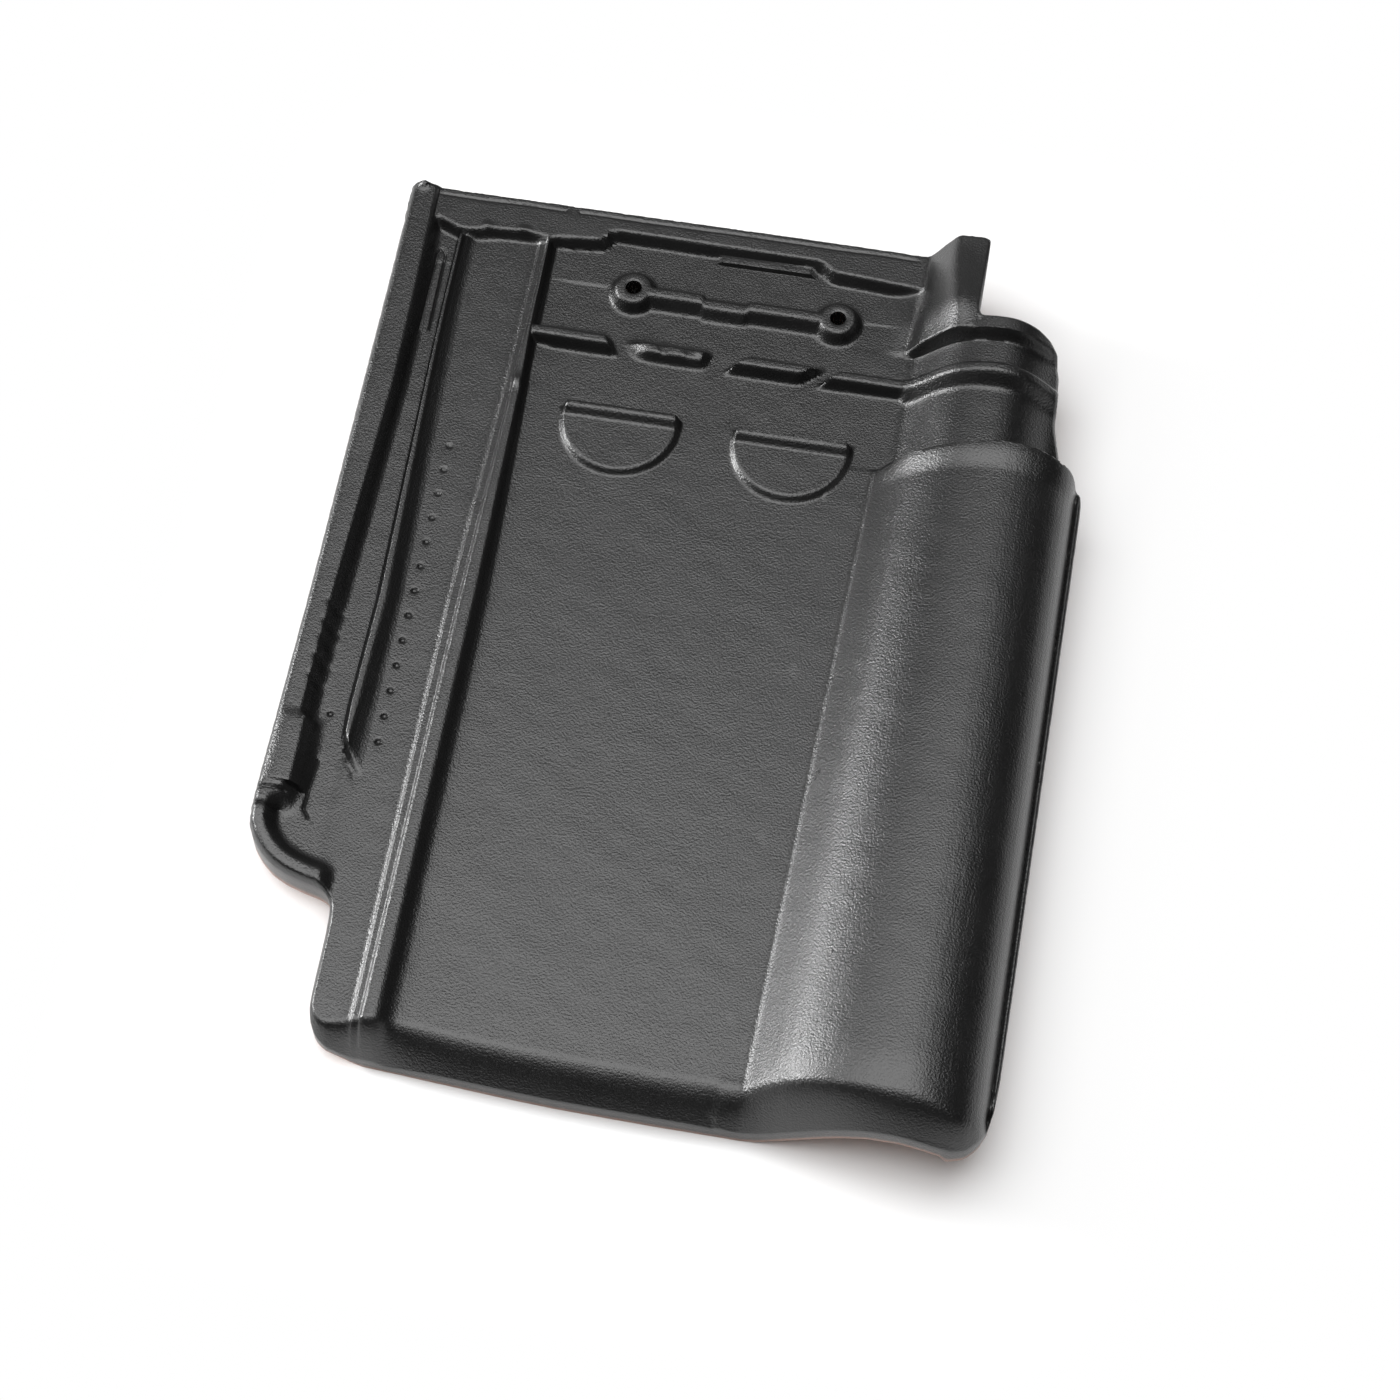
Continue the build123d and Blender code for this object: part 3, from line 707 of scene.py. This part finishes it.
def top_points(loop):
    """Points over the upper face: a grid, and lines of points along edges and round small forms."""
    points = top_grid()
    far, _, within = nearest(points, loop)
    points = points[within & (far > EDGE_CLEAR)]
    extras = []
    for cx, cy, chord in MOONS:
        off = np.abs(away(points, cx, cy) - MOON_MIDDLE)
        points = points[(off > MOON_CLEAR) | (points[:, 1] > chord)]
        arc = ring(cx, cy, MOON_RADII, MOON_POINTS, MOON_TURN)
        extras.append(arc[arc[:, 1] < chord])
    for hx, hy in HOLES:
        points = points[away(points, hx, hy) > HOLE_CLEAR]
        extras.append(ring(hx, hy, HOLE_RADII, BOSS_POINTS))
    for path, wide, _ in LINES:
        points = points[line_gap(*points.T, path) > LINE_CLEAR * wide]
        extras.append(beside(path, LINE_POINT_GAP, LINE_OFFSETS * wide))
    for cx, cy, size, _ in DIMPLES:
        clear = size + DIMPLE_CLEAR
        points = points[away(points, cx, cy) > clear]
        extras = [part[away(part, cx, cy) > clear] for part in extras]
        # Only one point of the innermost circle is kept, as the middle.
        extras.append(ring(cx, cy, DIMPLE_RADII * size, DIMPLE_POINTS)[DIMPLE_POINTS - 1:])

    # Offset lines follow the edge; the curb at the lower left corner gets more of them.
    to_inside = inward(loop)
    for d in EDGE_OFFSETS:
        extras.append(loop + to_inside * d)
    curb = (loop[:, 0] < CURB_RIGHT) & (loop[:, 1] < CURB_HEAD) & (loop[:, 1] > CURB_TAIL)
    far, place, _ = nearest(points, loop)
    around = curb[np.round(place).astype(int) % len(loop)] & (far < CURB_CLEAR)
    points = points[~around]
    for d in CURB_OFFSETS:
        extras.append((loop + to_inside * d)[curb])
    points = np.concatenate([points] + extras)
    far, _, within = nearest(points, loop)
    return points[within & (far > EDGE_LEAST)]


# The lower face is plainer: its rows and columns, and its ring of points round each screw hole.
UNDER_ROWS = [(-167, -147, 1.6), (-147, 142, 4.5), (142, 150, 1.2), (150, 158, 3), (158, 168, 1.6)]
UNDER_COLUMNS = [
    (-126, -68, 4.5), (-68, -64, 1.0), (-64, -34, 4), (-34, -30, 1.0), (-30, 22, 4), (22, 26, 1.0),
    (26, 56, 3), (56, 60, 1), (60, 127, 2.2)]
UNDER_CLEAR = 1.6
UNDER_HOLE_CLEAR = 2.5
UNDER_RING = 1.8
HOLE_POINTS = 40


def under_points(loop):
    """Points over the lower face."""
    x, y = np.meshgrid(spread(UNDER_COLUMNS), spread(UNDER_ROWS))
    points = np.column_stack([x.ravel(), y.ravel()])
    far, _, within = nearest(points, loop)
    points = points[within & (far > UNDER_CLEAR)]
    for hx, hy in HOLES:
        points = points[away(points, hx, hy) > HOLE_RADIUS + UNDER_HOLE_CLEAR]
        points = np.concatenate([points, ring(hx, hy, [HOLE_RADIUS + UNDER_RING], HOLE_POINTS)])
    return points


MERGE_GAP = 1e-6


def triangles(points, loops):
    """Triangles over the area between the first loop and the others, which are holes in it."""
    edges = []
    start = 0
    for loop in loops:
        count = len(loop)
        edges += [(start + k, start + (k + 1) % count) for k in range(count)]
        start += count
    out = delaunay_2d_cdt([Vector(p) for p in points.tolist()], edges, [], 0, MERGE_GAP)
    if len(out[0]) != len(points):
        raise ValueError("points merged in the triangulation: %d of %d" % (len(out[0]), len(points)))
    order = np.array([o[0] for o in out[3]])
    faces = order[np.array([f for f in out[2] if len(f) == 3], int)]
    middle = points[faces].mean(axis=1)
    keep = nearest(middle, loops[0])[2]
    for loop in loops[1:]:
        keep &= ~nearest(middle, loop)[2]
    faces = faces[keep]
    a, b, c = points[faces[:, 0]], points[faces[:, 1]], points[faces[:, 2]]
    area = (b[:, 0] - a[:, 0]) * (c[:, 1] - a[:, 1]) - (b[:, 1] - a[:, 1]) * (c[:, 0] - a[:, 0])
    faces[area < 0] = faces[area < 0][:, ::-1]
    return faces


# Rounding of the upper edge: how far in and how far down it reaches, plain, at the left, at the right.
EDGE_BEND = 0.8
PLAIN_EDGE = (1.1, 1.1)
LEFT_EDGE = (1.8, 2.6)
RIGHT_EDGE = (0.5, 0.5)
# At the tail the rounding is the turned-down nose: its run, and the height of the strip left below it.
NOSE_RUN = [
    (-94, 5), (-82, 8), (-66, 12.5), (40, 13), (60, 12.5), (76, 11.5), (106, 11.5), (115, 9), (121, 6.5),
    (126, 4.5)]
NOSE_STRIP = [(-90, 4), (-76, 4.5), (-46, 7.2), (20, 7.8), (50, 7.2), (64, 6.8), (88, 7.0), (115, 6.5)]
TAIL_ZONE_Y = (-150, -158)
TAIL_ZONE_X = (-95, -90)
LEFT_ZONE_HEAD = (-112, -116)
SIDE_ZONE_TAIL = (-150, -140)
LEFT_ZONE_X = (-70, -90)
RIGHT_ZONE_X = (127, 128)
RIGHT_ZONE_HEAD = (78, 72)
EDGE_REACH = np.arange(-9, 10)
EDGE_SOFT = 3.6


def edge_shape(loop):
    """For each point of the outline: how far in and how far down its edge is rounded."""
    x, y = loop.T
    tail = step(*TAIL_ZONE_Y, y) * step(*TAIL_ZONE_X, x)
    left = step(*LEFT_ZONE_HEAD, y) * step(*SIDE_ZONE_TAIL, y) * step(*LEFT_ZONE_X, x)
    right = step(*SIDE_ZONE_TAIL, y) * step(*RIGHT_ZONE_X, x) * step(*RIGHT_ZONE_HEAD, y)
    surface = top_height(x, y, np.zeros(len(loop)))
    nose = (table(NOSE_RUN, x), surface - table(TAIL_EDGE, x) - table(NOSE_STRIP, x))
    shape = []
    for at_tail, plain, at_left, at_right in zip(nose, PLAIN_EDGE, LEFT_EDGE, RIGHT_EDGE):
        size = plain * (1 - np.maximum(tail, left)) + at_tail * tail + at_left * left * (1 - tail)
        size = size * (1 - right) + at_right * right
        shape.append(blend_round(size, EDGE_REACH, gauss(EDGE_REACH, EDGE_SOFT)))
    return shape


def read_loop(values, place):
    """A value given at each point of a closed line, read between its points."""
    count = len(values)
    low = np.floor(place).astype(int)
    share = place - low
    return values[low % count] * (1 - share) + values[(low + 1) % count] * share


def edge_loops():
    """The outline with its ragged edge, and the two screw holes."""
    loop = loop_points(OUTLINE, OUTLINE_GAP, OUTLINE_SOFT)
    ragged = np.where((loop[:, 1] > RAGGED_HEAD) | (loop[:, 0] < RAGGED_LEFT), RAGGED, STRAIGHT)
    outward = np.clip(loop / [HALF_SIZE], -1, 1) ** EDGE_POWER
    loop = loop - outward * (ragged * np.abs(ripple(*loop.T, RAGGED_SIZE, RAGGED_SEED)))[:, None]
    turn = np.linspace(0, 2 * math.pi, HOLE_POINTS, endpoint=False)
    circle = HOLE_RADIUS * np.column_stack([np.cos(turn), np.sin(turn)])
    return [loop] + [circle + place for place in HOLES]


def rounded_top(points, loop):
    """Heights of the upper face, bent down towards its edge; the outline's points come first."""
    run, down = edge_shape(loop)
    d, place, _ = nearest(points, loop)
    d[:len(loop)] = 0
    t = np.clip(1 - d / read_loop(run, place), 0, 1)
    bend = (np.hypot(t, EDGE_BEND) - EDGE_BEND) / (math.hypot(1, EDGE_BEND) - EDGE_BEND)
    return top_height(*points.T, d) - read_loop(down, place) * bend


def wall_faces(loops, rows):
    """Faces between rows of points that follow the loops; the holes' faces are turned round."""
    faces = []
    start = 0
    for n, loop in enumerate(loops):
        turn = 1 if n == 0 else -1
        k = np.arange(len(loop))
        a = start + k
        b = start + (k + 1) % len(loop)
        for high, deep in zip(rows[:-1], rows[1:]):
            faces.append(np.column_stack([high[a], deep[a], deep[b]])[:, ::turn])
            faces.append(np.column_stack([high[a], deep[b], high[b]])[:, ::turn])
        start += len(loop)
    return faces


WALL_BANDS = 3
LEAST_WALL = 1.0


def tile_mesh():
    """The whole tile as one closed mesh in metres, with the share of underside at each point."""
    loops = edge_loops()
    rims = np.concatenate(loops)
    count = len(rims)
    upper = np.concatenate([rims, top_points(loops[0])])
    z = rounded_top(upper, loops[0])
    lower = np.concatenate([rims, under_points(loops[0])])
    low = under_height(*lower.T)
    low[:count] = np.minimum(low[:count], z[:count] - LEAST_WALL)

    verts = [np.column_stack([upper, z]), np.column_stack([lower, low])]
    rows = [np.arange(count)]
    start = len(upper) + len(lower)
    for k in range(1, WALL_BANDS):
        share = k / WALL_BANDS
        verts.append(np.column_stack([rims, z[:count] * (1 - share) + low[:count] * share]))
        rows.append(start + np.arange(count))
        start += count
    rows.append(len(upper) + np.arange(count))

    faces = [triangles(upper, loops), triangles(lower, loops)[:, ::-1] + len(upper)]
    faces += wall_faces(loops, rows)
    verts = np.concatenate(verts)
    under = np.zeros(len(verts))
    under[len(upper):len(upper) + len(lower)] = 1
    return verts / MILLIMETRES_IN_METRE, np.concatenate(faces), under


SHARP_ANGLE = 50

verts, faces, under = tile_mesh()
mesh = bpy.data.meshes.new("tile")
mesh.from_pydata(verts.tolist(), [], faces.tolist())
mesh.validate()
mesh.attributes.new("under", "FLOAT", "POINT").data.foreach_set("value", under.astype(np.float32))
mesh.shade_smooth()
mesh.set_sharp_from_angle(angle=math.radians(SHARP_ANGLE))
tile = bpy.data.objects.new("tile", mesh)
bpy.context.collection.objects.link(tile)


def node(tree, kind, inputs=(), **settings):
    """A new node with some of its settings and inputs given."""
    made = tree.nodes.new(kind)
    for name, value in settings.items():
        setattr(made, name, value)
    for key, value in dict(inputs).items():
        made.inputs[key].default_value = value
    return made


# Engobe and clay: colours, roughness, and the grain of the surface, which is measured in metres.
ENGOBE_DARK = (0.0036, 0.0036, 0.0037, 1)
ENGOBE_PALE = (0.0068, 0.0067, 0.0067, 1)
BARE_CLAY = (0.30, 0.145, 0.09, 1)
ENGOBE_IOR = 1.66
ENGOBE_ROUGHNESS = {"To Min": 0.25, "To Max": 0.33}
GRAIN = {"Scale": 1450, "Detail": 3}
GRAIN_BUMP = {"Strength": 0.55, "Distance": 0.0004}
CLOUD = {"Scale": 60, "Detail": 4}


def engobe():
    """Satin near-black engobe with a fine orange peel; bare brown clay below."""
    material = bpy.data.materials.new("engobe")
    material.use_nodes = True
    tree = material.node_tree
    link = tree.links.new
    shader = tree.nodes["Principled BSDF"]
    shader.inputs["IOR"].default_value = ENGOBE_IOR
    place = node(tree, "ShaderNodeTexCoord")
    under_side = node(tree, "ShaderNodeAttribute", attribute_name="under")

    grain = node(tree, "ShaderNodeTexNoise", GRAIN)
    bump = node(tree, "ShaderNodeBump", GRAIN_BUMP)
    link(place.outputs["Object"], grain.inputs["Vector"])
    link(grain.outputs["Fac"], bump.inputs["Height"])
    link(bump.outputs["Normal"], shader.inputs["Normal"])

    cloud = node(tree, "ShaderNodeTexNoise", CLOUD)
    rough = node(tree, "ShaderNodeMapRange", ENGOBE_ROUGHNESS)
    link(place.outputs["Object"], cloud.inputs["Vector"])
    link(cloud.outputs["Fac"], rough.inputs["Value"])
    link(rough.outputs["Result"], shader.inputs["Roughness"])

    dark = node(tree, "ShaderNodeMix", {"A": ENGOBE_DARK, "B": ENGOBE_PALE}, data_type="RGBA")
    clay = node(tree, "ShaderNodeMix", {"B": BARE_CLAY}, data_type="RGBA")
    link(cloud.outputs["Fac"], dark.inputs["Factor"])
    link(under_side.outputs["Fac"], clay.inputs["Factor"])
    link(dark.outputs["Result"], clay.inputs["A"])
    link(clay.outputs["Result"], shader.inputs["Base Color"])
    return material


mesh.materials.append(engobe())
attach(tile, "root")
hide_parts("roof_tile")

# Floor, in metres: half its side, how far it lies below the tile, and the area that keeps the shadow.
FLOOR_HALF = 30
FLOOR_DROP = 0.0002
FLOOR_WHITE = (0.95, 0.95, 0.95, 1)
SHADOW_HALF = (0.112, 0.170, 0)
SHADOW_FADE = 0.072


def floor_material():
    """White floor that keeps the shadow; further out it is plain white to the camera and in reflections."""
    material = bpy.data.materials.new("floor")
    material.use_nodes = True
    tree = material.node_tree
    link = tree.links.new
    tree.nodes.clear()

    path = node(tree, "ShaderNodeLightPath")
    seen = path.outputs["Is Camera Ray"]
    for ray in ("Is Glossy Ray", "Is Transmission Ray"):
        either = node(tree, "ShaderNodeMath", operation="MAXIMUM")
        link(seen, either.inputs[0])
        link(path.outputs[ray], either.inputs[1])
        seen = either.outputs["Value"]

    place = node(tree, "ShaderNodeTexCoord")
    size = node(tree, "ShaderNodeVectorMath", operation="ABSOLUTE")
    beyond = node(tree, "ShaderNodeVectorMath", {1: SHADOW_HALF}, operation="SUBTRACT")
    outside = node(tree, "ShaderNodeVectorMath", {1: (0, 0, 0)}, operation="MAXIMUM")
    length = node(tree, "ShaderNodeVectorMath", operation="LENGTH")
    fade = node(tree, "ShaderNodeMapRange", {"From Max": SHADOW_FADE}, interpolation_type="SMOOTHSTEP")
    share = node(tree, "ShaderNodeMath", operation="MULTIPLY")
    link(place.outputs["Object"], size.inputs[0])
    link(size.outputs["Vector"], beyond.inputs[0])
    link(beyond.outputs["Vector"], outside.inputs[0])
    link(outside.outputs["Vector"], length.inputs[0])
    link(length.outputs["Value"], fade.inputs["Value"])
    link(seen, share.inputs[0])
    link(fade.outputs["Result"], share.inputs[1])

    diffuse = node(tree, "ShaderNodeBsdfDiffuse", {"Color": FLOOR_WHITE})
    glow = node(tree, "ShaderNodeEmission", {"Strength": 1.0})
    mix = node(tree, "ShaderNodeMixShader")
    out = node(tree, "ShaderNodeOutputMaterial")
    link(share.outputs["Value"], mix.inputs["Fac"])
    link(diffuse.outputs["BSDF"], mix.inputs[1])
    link(glow.outputs["Emission"], mix.inputs[2])
    link(mix.outputs["Shader"], out.inputs["Surface"])
    return material


floor_mesh = bpy.data.meshes.new("floor")
floor_corners = [(sx * FLOOR_HALF, sy * FLOOR_HALF, 0) for sx, sy in ((-1, -1), (1, -1), (1, 1), (-1, 1))]
floor_mesh.from_pydata(floor_corners, [], [(0, 1, 2, 3)])
floor_mesh.materials.append(floor_material())
floor = bpy.data.objects.new("floor", floor_mesh)
floor.location = (0, 0, -FLOOR_DROP)
bpy.context.collection.objects.link(floor)

# Soft boxes: place, point they face, width and height, all in metres, and brightness.
LAMPS = {
    "top_box": ((-0.375, 0.02, 1.7), (-0.375, 0.02, 0.0), 2.25, 1.6, 3.4),
    "tail_box": ((-0.375, -1.05, 1.6), (-0.2, -0.2, 0.0), 2.0, 0.55, 0.9),
    "left_box": ((-1.3, 0.2, 0.36), (0.05, -0.03, 0.03), 0.5, 0.3, 37.0),
    "left_wall": ((-1.9, 0.1, 0.9), (0.0, 0.1, 0.3), 2.0, 1.2, 1.2),
    "back_box": ((0.0, 2.2, 1.3), (0.0, 0.0, 0.0), 3.2, 1.6, 0.3)}
WORLD_GREY = (0.05, 0.05, 0.05, 1)


def lamp(name, place, target, width, height, radiance):
    """A soft box facing a point, of a given brightness."""
    light = bpy.data.lights.new(name, "AREA")
    light.shape = "RECTANGLE"
    light.size = width
    light.size_y = height
    light.energy = radiance * math.pi * width * height
    box = bpy.data.objects.new(name, light)
    box.location = place
    box.rotation_euler = (Vector(target) - Vector(place)).to_track_quat("-Z", "Y").to_euler()
    box.visible_camera = False
    bpy.context.collection.objects.link(box)


for lamp_name, lamp_values in LAMPS.items():
    lamp(lamp_name, *lamp_values)

world = bpy.data.worlds.new("studio")
world.use_nodes = True
world.node_tree.nodes["Background"].inputs["Color"].default_value = WORLD_GREY
bpy.context.scene.world = world

# Camera at the photograph's viewing angle. The point it aims at lies a few pixels off the middle.
ELEVATION = math.radians(62.4)
AZIMUTH = math.radians(9.75)
SENSOR = 36
LENS = 88.7
LENS_PIXELS = 3450
OFF_RIGHT_PIXELS = 20
OFF_UP_PIXELS = 10
AIM = Vector((0.002, -0.008, 0))
DISTANCE = 1.1823


def photo_camera():
    """The camera, level from left to right."""
    along = math.cos(ELEVATION)
    forward = Vector((-math.sin(AZIMUTH) * along, math.cos(AZIMUTH) * along, -math.sin(ELEVATION)))
    right = Vector((math.cos(AZIMUTH), math.sin(AZIMUTH), 0))
    up = right.cross(forward)
    lens = bpy.data.cameras.new("camera")
    lens.sensor_width = SENSOR
    lens.lens = LENS
    camera = bpy.data.objects.new("camera", lens)
    to_aim = forward - right * (OFF_RIGHT_PIXELS / LENS_PIXELS) + up * (OFF_UP_PIXELS / LENS_PIXELS)
    turn = Matrix((right, up, -forward)).transposed().to_4x4()
    camera.matrix_world = Matrix.Translation(AIM - to_aim * DISTANCE) @ turn
    bpy.context.collection.objects.link(camera)
    return camera


bpy.context.scene.camera = photo_camera()
bpy.context.scene.view_settings.view_transform = "Standard"
